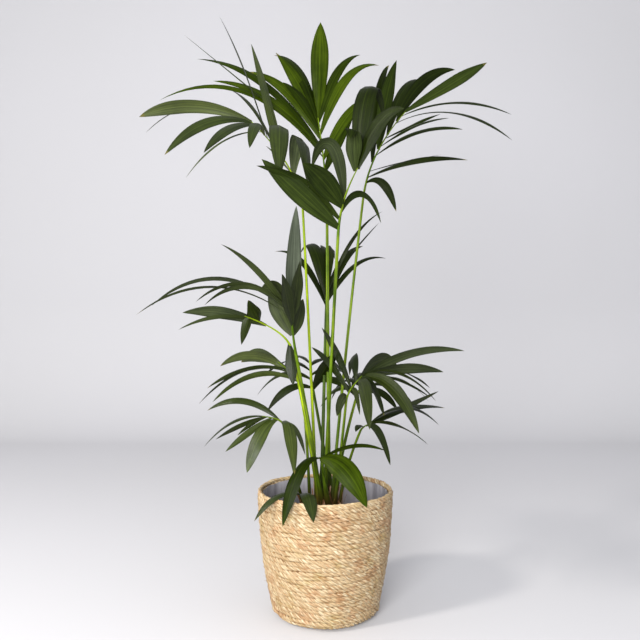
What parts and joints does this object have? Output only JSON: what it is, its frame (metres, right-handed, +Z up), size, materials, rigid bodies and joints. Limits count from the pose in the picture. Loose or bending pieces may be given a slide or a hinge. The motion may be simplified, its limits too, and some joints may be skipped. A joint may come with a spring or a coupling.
{
  "type": "potted kentia palm",
  "caption": "Young feather palm with arching fronds on slender stalks, growing from a film-lined round basket of wound seagrass rope.",
  "frame": {"origin": "centre of the basket's flat underside", "axes": "+Z up along the stalks, -Y towards the viewer of the picture, +X to the viewer's right"},
  "size_m": [0.7375, 0.5371, 1.224],
  "materials": {
    "seagrass": "matte",
    "film": "satin",
    "potting_mix": "matte",
    "sheath": "matte",
    "petiole": "satin",
    "leaf": "satin"
  },
  "bodies": {
    "root": {"basket": "seagrass", "liner": "film", "soil": "potting_mix", "stem_left": "sheath", "stem_middle": "sheath", "stem_front": "sheath", "stem_back": "sheath", "stem_right": "sheath", "petiole_crown_back": "petiole", "petiole_crown_front": "petiole", "petiole_crown_right": "petiole", "petiole_crown_left": "petiole", "petiole_middle_back": "petiole", "petiole_middle_left": "petiole", "petiole_middle_front": "petiole", "petiole_low_left": "petiole", "petiole_low_front_left": "petiole", "petiole_basket_front": "petiole", "petiole_basket_left": "petiole", "petiole_right_front": "petiole", "petiole_right_low": "petiole", "petiole_back_low": "petiole", "petiole_back_right": "petiole", "frond_crown_back": "leaf", "frond_crown_front": "leaf", "frond_crown_right": "leaf", "frond_crown_left": "leaf", "frond_middle_back": "leaf", "frond_middle_left": "leaf", "frond_middle_front": "leaf", "frond_low_left": "leaf", "frond_low_front_left": "leaf", "frond_basket_front": "leaf", "frond_basket_left": "leaf", "frond_right_front": "leaf", "frond_right_low": "leaf", "frond_back_low": "leaf", "frond_back_right": "leaf"}
  },
  "joints": []
}
